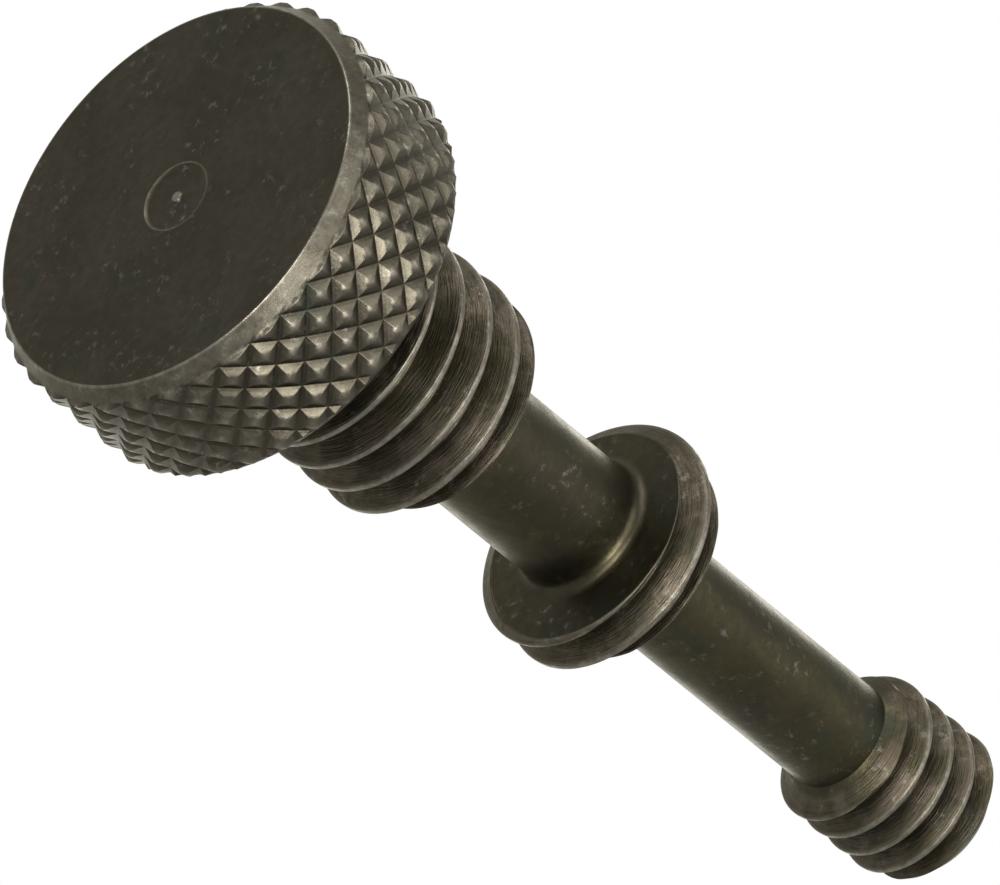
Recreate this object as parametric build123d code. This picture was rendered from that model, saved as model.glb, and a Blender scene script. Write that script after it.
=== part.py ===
from build123d import *
import math
import os

# A knurled-head captive thumb screw, turned in one piece from steel bar.
# The axis is Z. The head's flat outer face lies at z = 0 and the tip is at the top.

# Overall length, from the head's outer face to the tip
length = 44.45

# Head
head_thickness = 5.7
face_radius = 7.64
head_radius = 8.02
front_bevel_length = 0.6
back_bevel = 0.12

# Diamond knurl, raised by rolling, so its crests stand proud of the head
knurl_teeth = 35
knurl_rows = 7
knurl_height = 0.27
knurl_start_angle = 3.6

# Turning mark in the middle of the head's outer face: a shallow recess with a pip
mark_radius = 1.35
mark_depth = 0.08
pip_radius = 0.15
pip_height = 0.06

# Retaining thread, cut in one pass along the body and the collar: 3/8-16 UNC
body_thread_radius = 4.70
body_pitch = 1.5875
body_crest_z = 13.80
body_end = 15.12
body_end_chamfer = 0.52

# Relief groove between the head and the body's thread
relief_radius = 3.60
relief_width = 2.05

# Upper shank, where the screw floats once the collar has passed the panel
shank_radius = 2.525
shank_root_bevel = 0.30

# Collar that keeps the screw captive
collar_start = 23.42
collar_length = 2.71
collar_chamfer = 0.75

# Lower shank
neck_radius = 2.11
neck_root_bevel = 0.20

# Fastening thread at the tip: 1/4-20 UNC
tip_thread_radius = 3.10
tip_pitch = 1.27
tip_crest_z = 41.41
tip_thread_length = 5.95
tip_chamfer = 0.78
tip_shoulder_angle = 60.0

# Unified thread form: flank half angle, crest flat and depth as shares of the pitch
flank_half_angle = 30.0
crest_flat_share = 0.125
depth_share = 0.6134

# The side that the threads' crest heights are given for, and how far a cutter stands out
crest_side_angle = -90.0
cutter_overhang = 0.08


def ring_points(radius, z):
    """Corners of the many-sided ring that the head's facets share."""
    steps = 2 * knurl_teeth
    first = math.radians(knurl_start_angle)
    turn = [first + math.pi * step / knurl_teeth for step in range(steps)]
    return [Vector(radius * math.cos(a), radius * math.sin(a), z) for a in turn]


def knurl_points(row, start, end):
    """One row of the knurl's net: crests and groove crossings take turns around it."""
    z = start + (end - start) * row / knurl_rows
    roots = ring_points(head_radius, z)
    crests = ring_points(head_radius + knurl_height, z)
    if row in (0, knurl_rows):
        return roots
    return [crests[i] if (i + row) % 2 == 0 else roots[i] for i in range(len(roots))]


def flat_facet(*corners):
    return Face(Wire.make_polygon(corners, close=True))


def knurl_facets(start, end):
    """Four-sided pyramids: each cell of the net is split along its groove."""
    facets = []
    for row in range(knurl_rows):
        low = knurl_points(row, start, end)
        high = knurl_points(row + 1, start, end)
        for i in range(len(low)):
            j = (i + 1) % len(low)
            if (i + row) % 2 == 0:
                facets.append(flat_facet(low[i], low[j], high[i]))
                facets.append(flat_facet(low[j], high[j], high[i]))
            else:
                facets.append(flat_facet(low[i], low[j], high[j]))
                facets.append(flat_facet(low[i], high[j], high[i]))
    return facets


def bevel_facets(low, high):
    count = len(low)
    pairs = [(i, (i + 1) % count) for i in range(count)]
    return [flat_facet(low[i], low[j], high[j], high[i]) for i, j in pairs]


def knurled_head():
    """The head as a closed net of flat facets: face, bevel, knurl, bevel, back."""
    knurl_end = head_thickness - back_bevel
    face_ring = ring_points(face_radius, 0)
    first_ring = ring_points(head_radius, front_bevel_length)
    last_ring = ring_points(head_radius, knurl_end)
    back_ring = ring_points(head_radius - back_bevel, head_thickness)
    facets = [flat_facet(*face_ring), flat_facet(*back_ring)]
    facets += bevel_facets(face_ring, first_ring)
    facets += knurl_facets(front_bevel_length, knurl_end)
    facets += bevel_facets(last_ring, back_ring)
    return Solid(Shell(facets))


def centre_mark():
    """What is turned away around the pip in the middle of the face."""
    with BuildSketch(Plane.XZ) as section:
        with BuildLine():
            Polyline(
                (0, -mark_depth),
                (mark_radius + mark_depth, -mark_depth),
                (mark_radius - mark_depth, mark_depth),
                (pip_radius + pip_height, mark_depth),
                (pip_radius, mark_depth - pip_height),
                (0, mark_depth - pip_height),
                close=True,
            )
        make_face()
    return revolve(section.sketch, Axis.Z)


def turned_body():
    """Everything behind the head as it comes off the lathe, before its threads are cut."""
    buried = head_thickness / 2
    relief_end = head_thickness + relief_width
    ramp_end = relief_end + body_thread_radius - relief_radius
    collar_end = collar_start + collar_length
    tip_start = length - tip_thread_length
    shoulder = (tip_thread_radius - neck_radius) / math.tan(math.radians(tip_shoulder_angle))
    with BuildSketch(Plane.XZ) as section:
        with BuildLine():
            Polyline(
                (0, buried),
                (relief_radius, buried),
                (relief_radius, relief_end),
                (body_thread_radius, ramp_end),
                (body_thread_radius, body_end - body_end_chamfer),
                (body_thread_radius - body_end_chamfer, body_end),
                (shank_radius + shank_root_bevel, body_end),
                (shank_radius, body_end + shank_root_bevel),
                (shank_radius, collar_start - shank_root_bevel),
                (shank_radius + shank_root_bevel, collar_start),
                (body_thread_radius, collar_start),
                (body_thread_radius, collar_end - collar_chamfer),
                (body_thread_radius - collar_chamfer, collar_end),
                (neck_radius + neck_root_bevel, collar_end),
                (neck_radius, collar_end + neck_root_bevel),
                (neck_radius, tip_start),
                (tip_thread_radius, tip_start + shoulder),
                (tip_thread_radius, length - tip_chamfer),
                (tip_thread_radius - tip_chamfer, length),
                (0, length),
                close=True,
            )
        make_face()
    return revolve(section.sketch, Axis.Z)


def thread_cutter(radius, pitch):
    """One right-hand turn of a V with a flat bottom, as deep as the thread."""
    depth = depth_share * pitch
    slope = math.tan(math.radians(flank_half_angle))
    mouth_half = pitch * (1 - crest_flat_share) / 2
    root_radius = radius - depth
    outer_radius = radius + cutter_overhang
    root_half = mouth_half - depth * slope
    outer_half = mouth_half + cutter_overhang * slope
    with BuildSketch(Plane.XZ) as section:
        with BuildLine():
            Polyline(
                (root_radius, -root_half),
                (outer_radius, -outer_half),
                (outer_radius, outer_half),
                (root_radius, root_half),
                close=True,
            )
        make_face()
    path = Helix(pitch=pitch, height=pitch, radius=root_radius)
    return Rot(0, 0, crest_side_angle) * sweep(section.sketch, path=path, is_frenet=True)


def cut_thread(body, radius, pitch, crest_z, start, end):
    """Cuts the groove turn by turn from start to end, leaving a crest at crest_z."""
    turn = thread_cutter(radius, pitch)
    groove_z = crest_z + pitch / 2
    first = math.ceil((start - groove_z) / pitch)
    last = math.floor((end - groove_z) / pitch)
    for count in range(first, last + 1):
        body -= Pos(0, 0, groove_z + count * pitch) * turn
    return body


def screw():
    """The whole screw: turned body with both threads cut, and the knurled head."""
    body = turned_body()
    relief_middle = head_thickness + relief_width / 2
    collar_end = collar_start + collar_length
    neck_side = length - tip_thread_length - tip_pitch
    body = cut_thread(body, body_thread_radius, body_pitch, body_crest_z, relief_middle, collar_end)
    body = cut_thread(body, tip_thread_radius, tip_pitch, tip_crest_z, neck_side, length)
    head = knurled_head() - centre_mark()
    return head + body


os.makedirs("parts", exist_ok=True)
part = screw()
part.label = "screw"
export_step(part, "parts/screw.step")
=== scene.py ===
import math

import bmesh
import bpy
import numpy as np
from mathutils import Matrix, Vector


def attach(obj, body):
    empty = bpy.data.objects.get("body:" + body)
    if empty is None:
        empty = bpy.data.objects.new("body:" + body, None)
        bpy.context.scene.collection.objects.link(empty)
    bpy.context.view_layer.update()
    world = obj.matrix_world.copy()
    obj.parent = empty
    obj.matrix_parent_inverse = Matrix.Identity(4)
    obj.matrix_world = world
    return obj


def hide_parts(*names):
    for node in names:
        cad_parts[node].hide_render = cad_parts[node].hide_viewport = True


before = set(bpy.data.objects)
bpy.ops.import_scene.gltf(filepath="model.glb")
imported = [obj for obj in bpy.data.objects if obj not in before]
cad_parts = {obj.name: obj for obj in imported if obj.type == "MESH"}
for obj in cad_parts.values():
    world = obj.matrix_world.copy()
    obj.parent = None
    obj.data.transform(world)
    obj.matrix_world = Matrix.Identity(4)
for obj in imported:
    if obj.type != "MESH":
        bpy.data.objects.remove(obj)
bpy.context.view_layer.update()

mm = 0.001

# Outer face of the head: faced off flat on the lathe, with a shallow ring and a pip left in its
# middle by the tool, and a plain bevel that runs up to where the knurl begins. Everything turned
# on this screw shares the same number of steps around the axis, so the skins weld ring to ring.
around = 280
face_radius = 7.64 * mm
head_radius = 8.02 * mm
front_bevel_end = 0.60 * mm
mark_radius = 1.35 * mm
mark_depth = 0.08 * mm
pip_radius = 0.24 * mm
pip_height = 0.08 * mm
weld_distance = 0.002 * mm
skins = []


def turned_skin(name, outline):
    """Turns an outline of (radius, height, wear and painted sheen) points once around the axis."""
    turn = np.linspace(0, 2 * math.pi, around, endpoint=False)
    verts = [(r * math.cos(a), r * math.sin(a), z) for r, z, _ in outline for a in turn]
    faces = []
    for row in range(len(outline) - 1):
        low, high = row * around, (row + 1) * around
        for step in range(around):
            after = (step + 1) % around
            faces.append((low + step, low + after, high + after, high + step))
    mesh = bpy.data.meshes.new(name)
    mesh.from_pydata(verts, [], faces)
    wear_and_sheen = mesh.attributes.new("wear_and_sheen", "FLOAT", "POINT")
    wear_and_sheen.data.foreach_set("value", np.repeat([w for _, _, w in outline], around))
    skin = bpy.data.objects.new(name, mesh)
    bpy.context.collection.objects.link(skin)
    skins.append(skin)
    return skin


def rounded_corner(before, corner, after, radius, wear_and_sheen, steps=4):
    """Points of a small arc that takes the corner of an outline off."""
    before, corner, after = Vector(before), Vector(corner), Vector(after)
    back, forth = (before - corner).normalized(), (after - corner).normalized()
    half = back.angle(forth) / 2
    reach = radius / math.tan(half)
    centre = corner + (back + forth).normalized() * radius / math.sin(half)
    start, end = corner + back * reach - centre, corner + forth * reach - centre
    arc = []
    for step in range(steps + 1):
        point = centre + start.slerp(end, step / steps).normalized() * radius
        arc.append((point.x, point.y, wear_and_sheen))
    return arc


def head_face_outline():
    wall = 0.10 * mm
    ring_lip = 0.012 * mm
    flat_start, flat_end = 2.2 * mm, face_radius - 0.25 * mm
    rim_start = face_radius - 0.08 * mm
    edge_round = 0.05 * mm
    # The pip is given a wear value above one, so its dome is painted pale: a painted highlight
    # standing in for its glint.
    bevel_wear, pip_painted_glint = 0.66, 1.3
    dome = []
    for angle in np.linspace(0, math.pi / 2, 6):
        height = mark_depth - pip_height * math.cos(angle)
        dome.append((pip_radius * math.sin(angle), height, pip_painted_glint * math.cos(angle)))
    ring = [
        (mark_radius - wall, mark_depth, 0),
        (mark_radius - wall * 0.4, mark_depth * 0.8, 0.1),
        (mark_radius + wall * 0.2, ring_lip, 0.8),
        (mark_radius + wall * 0.8, 0, 0.4),
        (mark_radius + wall * 1.5, 0, 0),
    ]
    flat = [(r, 0, 0) for r in np.linspace(flat_start, flat_end, 8)]
    flat.append((rim_start, 0, 0.3))
    corner, bevel_end = Vector((face_radius, 0)), Vector((head_radius, front_bevel_end))
    edge = rounded_corner((mark_radius, 0), corner, bevel_end, edge_round, 1.0)
    bevel = [(*corner.lerp(bevel_end, share), bevel_wear) for share in (0.15, 0.5, 0.9, 1.0)]
    return dome + ring + flat + edge + bevel


turned_skin("head_face", head_face_outline())

# Rim of the head: a diamond knurl rolled in by two wheels, left and right handed, so the metal
# stands up as rows of four-sided points between crossing grooves. The bevels cut its ends off.
knurl_teeth = 35
knurl_height = 0.27 * mm
knurl_crest_steps = 7
knurl_crest_turn = knurl_crest_steps * 2 * math.pi / around
knurl_crest_z = 1.41 * mm
knurl_row_step = 0.735 * mm
head_thickness = 5.7 * mm
back_bevel = 0.12 * mm
knurl_run_in_slope = 2.5


class NodeTree:
    """A node tree written as short steps: make a node, fill its sockets, pass its output on."""

    def __init__(self, tree):
        self.tree = tree
        self.tree.nodes.clear()

    def node(self, kind, inputs=None, **settings):
        made = self.tree.nodes.new(kind)
        for key, value in settings.items():
            setattr(made, key, value)
        for key, value in (inputs or {}).items():
            self.put(made.inputs[key], value)
        return made

    def put(self, socket, value):
        if isinstance(value, bpy.types.NodeSocket):
            self.tree.links.new(value, socket)
        else:
            socket.default_value = value

    def maths(self, operation, *values, clamp=False):
        made = self.node("ShaderNodeMath", operation=operation, use_clamp=clamp)
        for socket, value in zip(made.inputs, values):
            self.put(socket, value)
        return made.outputs[0]


class RuleTree(NodeTree):
    """A geometry node tree with named sizes, which bends a flat grid round the screw's axis."""

    def __init__(self, name, sizes, counts):
        super().__init__(bpy.data.node_groups.new(name, "GeometryNodeTree"))
        face = self.tree.interface
        face.new_socket("Geometry", in_out="OUTPUT", socket_type="NodeSocketGeometry")
        for title in sizes:
            face.new_socket(title, in_out="INPUT", socket_type="NodeSocketFloat")
        for title in counts:
            face.new_socket(title, in_out="INPUT", socket_type="NodeSocketInt")
        face.new_socket("Material", in_out="INPUT", socket_type="NodeSocketMaterial")
        self.given = self.node("NodeGroupInput").outputs

    def whole_steps(self, number, size):
        """How many whole sizes a row, step or index number holds."""
        return self.maths("FLOOR", self.maths("DIVIDE", self.maths("ADD", number, 0.5), size))

    def row_and_step(self, across):
        """Where each point, or each square, of the grid lies: its row and its step around."""
        index = self.node("GeometryNodeInputIndex").outputs[0]
        row = self.whole_steps(index, across)
        return row, self.maths("SUBTRACT", index, self.maths("MULTIPLY", row, across))

    def lattice(self, rows):
        """A flat grid of rows by steps around, with its row number and its turn, 0 to 1."""
        across = self.maths("ADD", self.given["Around"], 1)
        along = self.maths("ADD", rows, 1)
        grid = self.node("GeometryNodeMeshGrid", {"Vertices X": along, "Vertices Y": across})
        row, step = self.row_and_step(across)
        return grid.outputs["Mesh"], row, self.maths("DIVIDE", step, self.given["Around"])

    def split_along_grooves(self, mesh, cell, crest_cells):
        """Splits the squares of the grid so that the cuts run along the knurl's grooves."""
        row, step = self.row_and_step(self.given["Around"])
        cells = self.maths("ADD", self.whole_steps(row, cell), self.whole_steps(step, cell))
        falling = self.maths("MODULO", self.maths("ADD", cells, crest_cells), 2)
        chosen = {"Mesh": mesh, "Selection": falling}
        first = self.node("GeometryNodeTriangulate", chosen, quad_method="FIXED")
        left_over = {"Mesh": first.outputs["Mesh"]}
        rest = self.node("GeometryNodeTriangulate", left_over, quad_method="FIXED_ALTERNATE")
        return rest.outputs["Mesh"]

    def placed(self, mesh, radius, turn, z, wear_and_sheen):
        """Wraps the grid round the axis, notes its wear and painted sheen, welds the seam and ends
        the tree.
        """
        angle = self.maths("MULTIPLY", turn, 2 * math.pi)
        spot = self.node("ShaderNodeCombineXYZ", {
            0: self.maths("MULTIPLY", radius, self.maths("COSINE", angle)),
            1: self.maths("MULTIPLY", radius, self.maths("SINE", angle)),
            2: z,
        })
        noted = {"Geometry": mesh, "Name": "wear_and_sheen", "Value": wear_and_sheen}
        note = self.node("GeometryNodeStoreNamedAttribute", noted, data_type="FLOAT", domain="POINT")
        moved = {"Geometry": note.outputs[0], "Position": spot.outputs[0]}
        move = self.node("GeometryNodeSetPosition", moved)
        welded = {"Geometry": move.outputs[0], "Distance": weld_distance}
        weld = self.node("GeometryNodeMergeByDistance", welded)
        real = self.node("GeometryNodeRealizeInstances", {"Geometry": weld.outputs[0]})
        coated = {"Geometry": real.outputs[0], "Material": self.given["Material"]}
        coat = self.node("GeometryNodeSetMaterial", coated)
        self.node("NodeGroupOutput", {"Geometry": coat.outputs[0]})


def skin_from_rule(name, rule, values):
    """Runs a rule tree with its sizes and keeps the result as a plain mesh."""
    holder = bpy.data.objects.new(name + "_rule", bpy.data.meshes.new(name + "_rule"))
    bpy.context.collection.objects.link(holder)
    modifier = holder.modifiers.new("rule", "NODES")
    modifier.node_group = rule.tree
    for item in rule.tree.interface.items_tree:
        if item.in_out == "INPUT" and item.name in values:
            modifier[item.identifier] = values[item.name]
    ready = holder.evaluated_get(bpy.context.evaluated_depsgraph_get())
    skin = bpy.data.objects.new(name, bpy.data.meshes.new_from_object(ready))
    bpy.data.objects.remove(holder)
    bpy.context.collection.objects.link(skin)
    skins.append(skin)
    return skin


def diamond_knurl():
    sizes = [
        "Radius", "Height", "Crest turn", "Crest z", "Row step",
        "Start", "End", "Start slope", "End radius",
    ]
    rule = RuleTree("diamond_knurl", sizes, ["Teeth", "Around"])
    given, maths = rule.given, rule.maths
    crest_z, row_step, start, end = (given[key] for key in ("Crest z", "Row step", "Start", "End"))

    # The grid cuts each cell of the pattern as finely along the axis as around it, and starts a
    # whole number of cells before the first crest, so crests and grooves fall on its points.
    across_step = maths("DIVIDE", maths("DIVIDE", given["Around"], given["Teeth"]), 2)
    fine_step = maths("DIVIDE", row_step, across_step)
    crest_cells = maths("CEIL", maths("DIVIDE", maths("SUBTRACT", crest_z, start), row_step))
    lowest = maths("SUBTRACT", crest_z, maths("MULTIPLY", crest_cells, row_step))
    rows = maths("CEIL", maths("DIVIDE", maths("SUBTRACT", end, lowest), fine_step))
    mesh, row, turn = rule.lattice(rows)
    mesh = rule.split_along_grooves(mesh, across_step, crest_cells)
    raw = maths("ADD", lowest, maths("MULTIPLY", row, fine_step))
    z = maths("MINIMUM", maths("MAXIMUM", raw, start), end)

    # The two wheels' grooves lean left and right; the metal left between them is a blunted point.
    groove_round, blunt_at, blunt_round = 0.05, 0.92, 0.06
    around_wave = maths("MULTIPLY", maths("MULTIPLY", turn, given["Teeth"]), 2)
    along_wave = maths("DIVIDE", maths("SUBTRACT", z, crest_z), row_step)
    left = maths("PINGPONG", maths("ADD", around_wave, along_wave), 1)
    right = maths("PINGPONG", maths("SUBTRACT", around_wave, along_wave), 1)
    point = maths("SUBTRACT", 1, maths("SMOOTH_MAX", left, right, groove_round))
    blunt = maths("MAXIMUM", maths("SMOOTH_MIN", point, blunt_at, blunt_round), 0)
    standing = maths("ADD", given["Radius"], maths("MULTIPLY", given["Height"], blunt))

    # The bevels at both ends cut the points down to the rings of the skins beside them.
    run_in = maths("MULTIPLY", maths("SUBTRACT", z, start), given["Start slope"])
    front_cut = maths("ADD", given["Radius"], run_in)
    back_cut = maths("ADD", given["End radius"], maths("SUBTRACT", end, z))
    radius = maths("MINIMUM", standing, maths("MINIMUM", front_cut, back_cut))

    # Wear: rubbed bare on the very points; the facets are lighter and the colour darkens down into
    # the grooves.
    tip_sharpness, tip_wear, facet_rise, facet_lightness = 3.0, 0.5, 2.5, 0.5
    tips = maths("POWER", blunt, tip_sharpness)
    facets = maths("MULTIPLY", maths("MAXIMUM", point, 0), facet_rise)
    facets = maths("MINIMUM", facets, facet_lightness)
    full_turn = maths("ADD", turn, maths("DIVIDE", given["Crest turn"], 2 * math.pi))
    rule.placed(mesh, radius, full_turn, z, maths("MULTIPLY_ADD", tips, tip_wear, facets))
    return rule


skin_from_rule("knurl", diamond_knurl(), {
    "Radius": head_radius, "Height": knurl_height, "Crest turn": knurl_crest_turn,
    "Crest z": knurl_crest_z, "Row step": knurl_row_step, "Start": front_bevel_end,
    "End": head_thickness, "Start slope": knurl_run_in_slope,
    "End radius": head_radius - back_bevel, "Teeth": knurl_teeth, "Around": around,
})

# Back of the head and the relief groove under it: a flat seat turned square to the axis, and a
# short groove with a rounded root, where the threading tool starts its cut.
relief_radius = 3.60 * mm
relief_width = 2.05 * mm
relief_root_round = 0.25 * mm
relief_end = head_thickness + relief_width


def seat_and_relief_outline():
    seat_outer = head_radius - back_bevel
    rim_end = seat_outer - 0.06 * mm
    seat_start, seat_end = 7.4 * mm, relief_radius + 0.6 * mm
    root_end = relief_end - 0.5 * mm
    root_corner, groove_end = (relief_radius, head_thickness), (relief_radius, relief_end)
    rim = [(seat_outer, head_thickness, 0.4), (rim_end, head_thickness, 0.1)]
    seat = [(r, head_thickness, 0) for r in np.linspace(seat_start, seat_end, 6)]
    edge = (seat_outer, head_thickness)
    root = rounded_corner(edge, root_corner, groove_end, relief_root_round, 0)
    groove = [(relief_radius, root_end, 0), (relief_radius, relief_end, 0)]
    return rim + seat + root + groove


turned_skin("seat_and_relief", seat_and_relief_outline())

# Retaining thread on the body: a right-hand 3/8-16 screw-cut thread with flat crests, faded by
# a bevel at its far end. The captive collar further along carries on the same thread.
body_thread_radius = 4.70 * mm
body_pitch = 1.5875 * mm
body_crest_z = 13.80 * mm
body_end = 15.12 * mm
body_end_chamfer = 0.52 * mm
shank_radius = 2.525 * mm
shank_root_round = 0.45 * mm
rows_per_pitch = 16
seam_turn = 0.25


def cut_thread():
    sizes = [
        "Radius", "Pitch", "Crest z", "Start", "End",
        "First ring", "Start radius", "Start slope", "End radius", "Last ring",
    ]
    rule = RuleTree("cut_thread", sizes, ["Rows per pitch", "Around"])
    given, maths = rule.given, rule.maths
    pitch, crest_z, start, end = (given[key] for key in ("Pitch", "Crest z", "Start", "End"))

    # The grid's rows climb one pitch in a turn, so they run along the thread. Rows that would
    # start below it or climb out past its end are pressed onto its two end heights.
    fine_step = maths("DIVIDE", pitch, given["Rows per pitch"])
    turns_below = maths("FLOOR", maths("DIVIDE", maths("SUBTRACT", start, crest_z), pitch))
    run_up = maths("MULTIPLY", maths("SUBTRACT", turns_below, 2), pitch)
    lowest = maths("ADD", crest_z, run_up)
    span = maths("SUBTRACT", maths("ADD", end, pitch), lowest)
    last_row = maths("ADD", maths("CEIL", maths("DIVIDE", span, fine_step)), 2)
    mesh, row, turn = rule.lattice(last_row)
    level = maths("ADD", lowest, maths("MULTIPLY", row, fine_step))
    raw = maths("ADD", level, maths("MULTIPLY", turn, pitch))
    z = maths("MINIMUM", maths("MAXIMUM", raw, start), end)

    # The thread's form, as shares of the pitch: flat crests, 60 degree flanks, rounded roots.
    half_crest_share, depth_share = 0.0625, 0.6134
    crest_round_share, root_round_share = 0.05, 0.12
    flank_slope = 1 / math.tan(math.radians(30))
    phase = maths("SUBTRACT", maths("DIVIDE", maths("SUBTRACT", z, crest_z), pitch), turn)
    from_flat = maths("SUBTRACT", maths("PINGPONG", phase, 0.5), half_crest_share)
    fall = maths("MULTIPLY", from_flat, maths("MULTIPLY", pitch, flank_slope))
    rounded = maths("SMOOTH_MAX", fall, 0, maths("MULTIPLY", pitch, crest_round_share))
    full_depth = maths("MULTIPLY", pitch, depth_share)
    depth = maths("SMOOTH_MIN", rounded, full_depth, maths("MULTIPLY", pitch, root_round_share))
    thread = maths("SUBTRACT", given["Radius"], depth)

    # Bevels cut the thread down at both ends. The first two and the last two rows of the grid
    # lie flat on the end faces and reach in to the rings of the skins beside them.
    end_ring_inset = 0.10 * mm
    run_in = maths("MULTIPLY", maths("SUBTRACT", z, start), given["Start slope"])
    from_start = maths("ADD", given["Start radius"], run_in)
    from_end = maths("ADD", given["End radius"], maths("SUBTRACT", end, z))
    cut = maths("MINIMUM", thread, maths("MINIMUM", from_start, from_end))
    inside_lip = maths("SUBTRACT", cut, end_ring_inset)
    rings = [
        (0, given["First ring"]),
        (1, maths("MAXIMUM", given["First ring"], inside_lip)),
        (last_row, given["Last ring"]),
        (maths("SUBTRACT", last_row, 1), maths("MAXIMUM", given["Last ring"], inside_lip)),
    ]
    radius, on_face = cut, 0.0
    for at, ring in rings:
        here = maths("COMPARE", row, at, 0.5)
        kept = maths("MULTIPLY", radius, maths("SUBTRACT", 1, here))
        radius = maths("ADD", kept, maths("MULTIPLY", ring, here))
        on_face = maths("ADD", on_face, here)

    # Wear: bare along the crests and thinning down the flanks; the end lips are painted pale, a
    # painted highlight along them.
    crest_fade, flank_wear, flank_fade, lip_highlight, lip_highlight_fade = 12, 0.45, 0.4, 0.9, 1.3
    lip_highlight_width = 0.25 * mm
    below = maths("DIVIDE", maths("SUBTRACT", given["Radius"], radius), full_depth)
    crest = maths("MAXIMUM", maths("SUBTRACT", 1, maths("MULTIPLY", below, crest_fade)), 0)
    flank = maths("SUBTRACT", flank_wear, maths("MULTIPLY", below, flank_fade))
    # Painted highlight: the lips at both ends of each thread get a pale colour, strongest near the
    # crests.
    nearest_end = maths("MINIMUM", maths("SUBTRACT", z, start), maths("SUBTRACT", end, z))
    lip_highlight_share = maths("MAXIMUM", maths("SUBTRACT", lip_highlight, maths("DIVIDE", nearest_end, lip_highlight_width)), 0)
    high_up = maths("MAXIMUM", maths("SUBTRACT", 1, maths("MULTIPLY", below, lip_highlight_fade)), 0)
    worn_and_highlit = maths("MAXIMUM", maths("MAXIMUM", crest, flank), maths("MULTIPLY", lip_highlight_share, high_up))
    rule.placed(mesh, radius, turn, z, maths("MULTIPLY", worn_and_highlit, maths("SUBTRACT", 1, on_face)))
    return rule


thread_rule = cut_thread()
fineness = {"Rows per pitch": rows_per_pitch, "Around": around}
retaining_thread = {
    "Radius": body_thread_radius, "Pitch": body_pitch,
    "Crest z": body_crest_z + seam_turn * body_pitch, **fineness,
}
skin_from_rule("body_thread", thread_rule, {
    **retaining_thread, "Start": relief_end, "End": body_end,
    "First ring": relief_radius, "Start radius": relief_radius, "Start slope": 1.0,
    "End radius": body_thread_radius - body_end_chamfer,
    "Last ring": shank_radius + shank_root_round,
})

# Upper shank: plain turned steel, thinner than the threads on both sides of it, so that the
# screw floats in its panel. The nose of the lathe tool leaves a rounded root at each end.
collar_start = 23.42 * mm
root_clearance = 0.8 * mm


def upper_shank_outline():
    face_reach = shank_radius + 1 * mm
    low_corner, high_corner = (shank_radius, body_end), (shank_radius, collar_start)
    low = rounded_corner((face_reach, body_end), low_corner, high_corner, shank_root_round, 0)
    high = rounded_corner(low_corner, high_corner, (face_reach, collar_start), shank_root_round, 0)
    heights = np.linspace(body_end + root_clearance, collar_start - root_clearance, 6)
    return low + [(shank_radius, z, 0) for z in heights] + high


turned_skin("upper_shank", upper_shank_outline())

# Collar that keeps the screw captive: a short length of the same thread, left standing between
# the two shanks, with its front edge broken and its back bevelled.
collar_end = 26.13 * mm
collar_chamfer = 0.75 * mm
collar_front_break = 0.14 * mm
collar_front_slope = 0.7
neck_radius = 2.11 * mm
neck_root_round = 0.25 * mm
skin_from_rule("collar", thread_rule, {
    **retaining_thread, "Start": collar_start, "End": collar_end,
    "First ring": shank_radius + shank_root_round,
    "Start radius": body_thread_radius - collar_front_break, "Start slope": collar_front_slope,
    "End radius": body_thread_radius - collar_chamfer,
    "Last ring": neck_radius + neck_root_round,
})

# Lower shank: the same steel turned slimmer still, so that the panel's threaded bush passes it,
# with a rounded root at the collar and a plain run up to the shoulder of the tip's thread.
length = 44.45 * mm
tip_thread_length = 5.95 * mm
tip_start = length - tip_thread_length


def lower_shank_outline():
    face_reach = neck_radius + 1 * mm
    corner, far_end = (neck_radius, collar_end), (neck_radius, tip_start)
    root = rounded_corner((face_reach, collar_end), corner, far_end, neck_root_round, 0)
    heights = np.linspace(collar_end + root_clearance, tip_start, 8)
    return root + [(neck_radius, z, 0) for z in heights]


turned_skin("lower_shank", lower_shank_outline())

# Fastening thread at the tip: a right-hand 1/4-20 screw-cut thread, run out by a steep shoulder
# at its back and bevelled at its point.
tip_thread_radius = 3.10 * mm
tip_pitch = 1.27 * mm
tip_crest_z = 41.41 * mm
tip_chamfer = 0.78 * mm
tip_shoulder_slope = math.tan(math.radians(60))
tip_end_radius = tip_thread_radius - tip_chamfer
tip_face_radius = tip_end_radius - 0.1 * mm
skin_from_rule("tip_thread", thread_rule, {
    "Radius": tip_thread_radius, "Pitch": tip_pitch,
    "Crest z": tip_crest_z + seam_turn * tip_pitch, **fineness,
    "Start": tip_start, "End": length, "First ring": neck_radius, "Start radius": neck_radius,
    "Start slope": tip_shoulder_slope, "End radius": tip_end_radius,
    "Last ring": tip_face_radius,
})
turned_skin("tip_face", [(r, length, 0) for r in np.linspace(tip_face_radius, 0, 8)])

# The finish: the screw is one piece of steel, browned in hot salts and oiled, so it is a dark olive
# grey all over, with crests and knurl points rubbed pale, fine turning marks left on, and painted
# highlights on the pip and the threads' end lips.


class FinishNodes(NodeTree):
    """A material's node tree, with the noises and blends that a finish is made of."""

    def __init__(self, name):
        self.material = bpy.data.materials.new(name)
        self.material.use_nodes = True
        super().__init__(self.material.node_tree)

    def spread(self, value, low, high, to_low=0.0, to_high=1.0):
        """Eases from to_low to to_high as the value goes from low to high."""
        titles = ("Value", "From Min", "From Max", "To Min", "To Max")
        inputs = dict(zip(titles, (value, low, high, to_low, to_high)))
        settings = {"clamp": True, "interpolation_type": "SMOOTHSTEP"}
        return self.node("ShaderNodeMapRange", inputs, **settings).outputs[0]

    def noise(self, vector, scale, detail, roughness):
        inputs = {"Vector": vector, "Scale": scale, "Detail": detail, "Roughness": roughness}
        return self.node("ShaderNodeTexNoise", inputs).outputs["Fac"]

    def mix(self, share, low, high):
        return self.node("ShaderNodeMix", {0: share, 6: low, 7: high}, data_type="RGBA").outputs[2]


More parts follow.
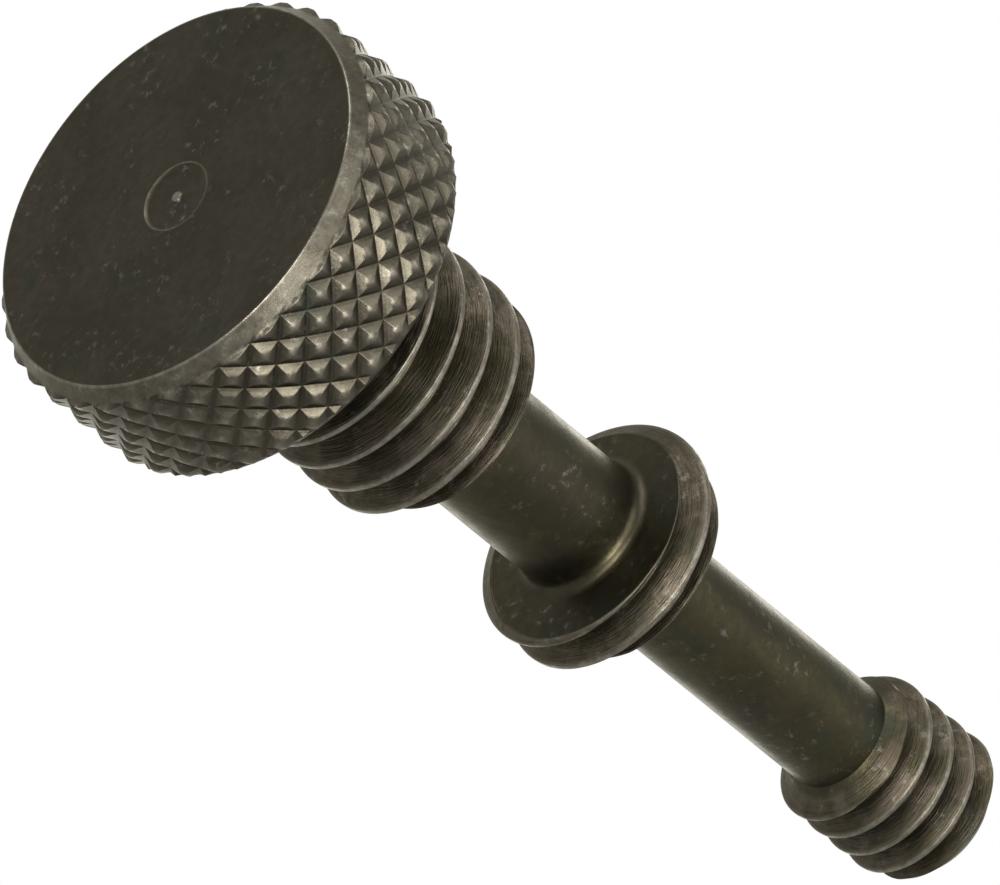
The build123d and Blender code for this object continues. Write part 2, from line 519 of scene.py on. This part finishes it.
def browned_steel():
    finish = FinishNodes("browned_steel")
    maths, spread, noise, mix = finish.maths, finish.spread, finish.noise, finish.mix
    place = finish.node("ShaderNodeTexCoord").outputs["Object"]
    wear_and_sheen = finish.node("ShaderNodeAttribute", attribute_name="wear_and_sheen").outputs["Fac"]
    x, y, z = finish.node("ShaderNodeSeparateXYZ", {0: place}).outputs
    from_axis = maths("SQRT", maths("ADD", maths("MULTIPLY", x, x), maths("MULTIPLY", y, y)))
    rings = finish.node("ShaderNodeCombineXYZ", {0: from_axis, 2: z}).outputs[0]

    # Unevenness of the finish from wide patches down to fine grain, then the lathe's marks.
    patches = noise(place, 160.0, 3.0, 0.5)
    stains = noise(place, 260.0, 5.0, 0.65)
    clouds = noise(place, 420.0, 5.0, 0.6)
    handling = noise(place, 480.0, 3.0, 0.6)
    tinting = noise(place, 900.0, 3.0, 0.5)
    mottle = noise(place, 2400.0, 4.0, 0.65)
    nicks = noise(place, 2600.0, 4.0, 0.7)
    grain = noise(place, 8000.0, 3.0, 0.6)
    turned = noise(rings, 9000.0, 4.0, 0.75)
    finely_turned = noise(rings, 20000.0, 2.0, 0.5)
    half_mottle = maths("MULTIPLY", mottle, 0.5)

    # Where each of them counts: behind the head, in the threads, where the screw is worn, and where
    # the wear values paint highlights on the pip and the end lips.
    behind_head = spread(z, 5.0 * mm, 8.0 * mm)
    inside_head_rim = spread(from_axis, 5.0 * mm, 5.4 * mm, 1.0, 0.0)
    in_thread = maths("MULTIPLY", spread(wear_and_sheen, 0.02, 0.15), inside_head_rim)
    in_thread = maths("MULTIPLY", in_thread, spread(z, 6.0 * mm, 6.5 * mm))
    # The thinned and rubbed colours are real wear on crests, points and edges, and painted
    # highlights on the pip and the threads' end lips.
    thinned_and_highlit = spread(maths("ADD", wear_and_sheen, half_mottle), 0.62, 1.15)
    rubbed_and_glinting = spread(maths("ADD", wear_and_sheen, maths("MULTIPLY", mottle, 1.5)), 1.50, 1.95)
    streaks = maths("MULTIPLY", in_thread, spread(turned, 0.40, 0.65))
    tinted = maths("MULTIPLY", in_thread, spread(tinting, 0.46, 0.62))
    scuffs = maths("MULTIPLY", spread(handling, 0.46, 0.62), spread(nicks, 0.54, 0.70))

    umber, olive = (0.039, 0.034, 0.027, 1), (0.037, 0.033, 0.0175, 1)
    green, stain = (0.022, 0.027, 0.020, 1), (0.025, 0.022, 0.0165, 1)
    soot, thin_brown_and_highlight = (0.020, 0.017, 0.012, 1), (0.085, 0.077, 0.058, 1)
    streak, copper = (0.100, 0.084, 0.062, 1), (0.082, 0.065, 0.050, 1)
    scuffed, bare_and_glint = (0.15, 0.14, 0.12, 1), (0.14, 0.13, 0.108, 1)
    more_behind = maths("MULTIPLY", behind_head, 0.6)
    towards_olive = maths("MULTIPLY_ADD", patches, 0.6, more_behind, clamp=True)
    colour = mix(towards_olive, umber, olive)
    colour = mix(spread(clouds, 0.52, 0.68, 0.0, 0.8), colour, green)
    colour = mix(spread(stains, 0.42, 0.60, 0.0, 0.65), colour, stain)
    colour = mix(spread(mottle, 0.30, 0.70, 0.0, 0.5), colour, soot)
    colour = mix(thinned_and_highlit, colour, thin_brown_and_highlight)
    colour = mix(maths("MULTIPLY", streaks, 0.25), colour, streak)
    colour = mix(maths("MULTIPLY", tinted, 0.45), colour, copper)
    colour = mix(maths("MULTIPLY", scuffs, 0.45), colour, scuffed)
    colour = mix(rubbed_and_glinting, colour, bare_and_glint)

    # Cloudy patches are duller, so are the threads a little, and rubbed metal is shinier.
    dulled, polished = maths("MULTIPLY", in_thread, 0.06), maths("MULTIPLY", rubbed_and_glinting, 0.14)
    shine = spread(maths("ADD", clouds, half_mottle), 0.5, 1.0, 0.30, 0.46)
    shine = maths("ADD", shine, maths("SUBTRACT", dulled, polished))

    # A faint relief everywhere, and deeper tool furrows on the threads, over rounded edges.
    fine_relief = maths("ADD", maths("MULTIPLY", grain, 0.3), mottle)
    relief = maths("ADD", maths("MULTIPLY", turned, 0.4), fine_relief)
    furrows = maths("ADD", maths("MULTIPLY", finely_turned, 2.2), maths("MULTIPLY", turned, 0.5))
    relief = maths("ADD", relief, maths("MULTIPLY", furrows, in_thread))
    edge_round, relief_depth = 0.06 * mm, 0.02 * mm
    rounded = finish.node("ShaderNodeBevel", {"Radius": edge_round}, samples=6)
    bump = finish.node("ShaderNodeBump", {
        "Strength": 0.6, "Distance": relief_depth, "Height": relief, "Normal": rounded.outputs[0],
    })
    shader = finish.node("ShaderNodeBsdfPrincipled", {
        "Base Color": colour, "Metallic": 1.0, "Specular Tint": (0.9, 0.88, 0.80, 1),
        "Roughness": shine, "Normal": bump.outputs[0],
    })
    finish.node("ShaderNodeOutputMaterial", {"Surface": shader.outputs[0]})
    return finish.material


def weld_skins(name, material):
    """Joins every skin, ring to ring, into the one closed skin of the screw."""
    whole = bmesh.new()
    for skin in skins:
        whole.from_mesh(skin.data)
        bpy.data.objects.remove(skin)
    bmesh.ops.remove_doubles(whole, verts=whole.verts, dist=weld_distance)
    bmesh.ops.recalc_face_normals(whole, faces=whole.faces)
    mesh = bpy.data.meshes.new(name)
    whole.to_mesh(mesh)
    whole.free()
    mesh.shade_smooth()
    mesh.set_sharp_from_angle(angle=math.radians(30))
    mesh.materials.append(material)
    welded = bpy.data.objects.new(name, mesh)
    bpy.context.collection.objects.link(welded)
    return welded


screw = weld_skins("thumb_screw", browned_steel())
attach(screw, "root")
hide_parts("screw")

# Camera: the photograph's own view, from a long way off, of the head's outer face and near side,
# with the tip pointing away to the lower right.
view_right = Vector((-0.6325, -0.4825, 0.6057))
view_up = Vector((-0.7745, 0.3940, -0.4946))
view_back = Vector((0.0, -0.7820, -0.6230))
screw_middle = Vector((-0.49, 0.0, 18.27)) * mm
view_centre = screw_middle - view_right * 0.103 * mm + view_up * 0.076 * mm
view_distance = 1.0
view_width = 35.21 * mm
sensor_width = 36.0
camera = bpy.data.objects.new("camera", bpy.data.cameras.new("camera"))
turned_to = Matrix((view_right, view_up, view_back)).transposed().to_4x4()
camera.matrix_world = Matrix.Translation(view_centre + view_back * view_distance) @ turned_to
camera.data.sensor_width = sensor_width
camera.data.lens = sensor_width * view_distance / view_width
camera.data.clip_start, camera.data.clip_end = 0.1, 10.0
bpy.context.collection.objects.link(camera)
bpy.context.scene.camera = camera

# Studio: soft lamps round the screw, a white surround, and a pale floor under the head that
# shows only from above, because the photograph looks up at the head from below its level.
# Each lamp is given by its direction in the camera's own axes, its width and its watts.
lamp_distance = 0.25
lamps = {
    "key": ((0.40, -0.24, 0.88), 0.13, 1.05),
    "front": ((-0.34, 0.22, 0.91), 0.14, 0.80),
    "upper_right": ((0.72, 0.42, 0.55), 0.20, 0.40),
    "side": ((0.95, 0.05, 0.30), 0.26, 0.20),
    "top": ((-0.10, 0.97, 0.20), 0.16, 0.35),
    "rear_high": ((0.34, 0.28, -0.90), 0.08, 0.05),
    "rear_low": ((-0.20, -0.36, -0.91), 0.08, 0.02),
}
for name, ((right, up, back), width, watts) in lamps.items():
    lamp = bpy.data.objects.new(name, bpy.data.lights.new(name, "AREA"))
    lamp.data.shape, lamp.data.size, lamp.data.energy = "DISK", width, watts
    aim = (view_right * right + view_up * up + view_back * back).normalized()
    facing = aim.to_track_quat("Z", "Y").to_matrix().to_4x4()
    lamp.matrix_world = Matrix.Translation(view_centre + aim * lamp_distance) @ facing
    lamp.visible_camera = False
    bpy.context.collection.objects.link(lamp)

world = bpy.data.worlds.new("surround")
bpy.context.scene.world = world
world.use_nodes = True
air = NodeTree(world.node_tree)
path = air.node("ShaderNodeLightPath").outputs
seen = air.maths("MAXIMUM", path["Is Camera Ray"], path["Is Glossy Ray"])
seen = air.maths("MAXIMUM", seen, path["Is Transmission Ray"])
lighting, backdrop = 0.9, 1.0
strength = air.node("ShaderNodeMapRange", {"Value": seen, "To Min": lighting, "To Max": backdrop})
white = air.node("ShaderNodeBackground", {"Color": (1, 1, 1, 1), "Strength": strength.outputs[0]})
air.node("ShaderNodeOutputWorld", {"Surface": white.outputs[0]})

floor_half = 0.6
floor_drop = 0.05 * mm
corner_signs = [(-1, -1), (1, -1), (1, 1), (-1, 1)]
corners = [(x * floor_half, y * floor_half, -floor_drop) for x, y in corner_signs]
floor_mesh = bpy.data.meshes.new("floor")
floor_mesh.from_pydata(corners, [], [(0, 1, 2, 3)])
floor = bpy.data.objects.new("floor", floor_mesh)
bpy.context.collection.objects.link(floor)
paper = FinishNodes("pale_paper")
seen_directly = paper.node("ShaderNodeLightPath").outputs["Is Camera Ray"]
behind = paper.node("ShaderNodeNewGeometry").outputs["Backfacing"]
shown = paper.maths("MULTIPLY", seen_directly, paper.maths("SUBTRACT", 1, behind))
paper_white = (0.92, 0.92, 0.91, 1)
matt = paper.node("ShaderNodeBsdfDiffuse", {"Color": paper_white})
clear = paper.node("ShaderNodeBsdfTransparent")
either = paper.node("ShaderNodeMixShader", {0: shown, 1: clear.outputs[0], 2: matt.outputs[0]})
paper.node("ShaderNodeOutputMaterial", {"Surface": either.outputs[0]})
floor_mesh.materials.append(paper.material)

bpy.context.scene.view_settings.view_transform = "Standard"
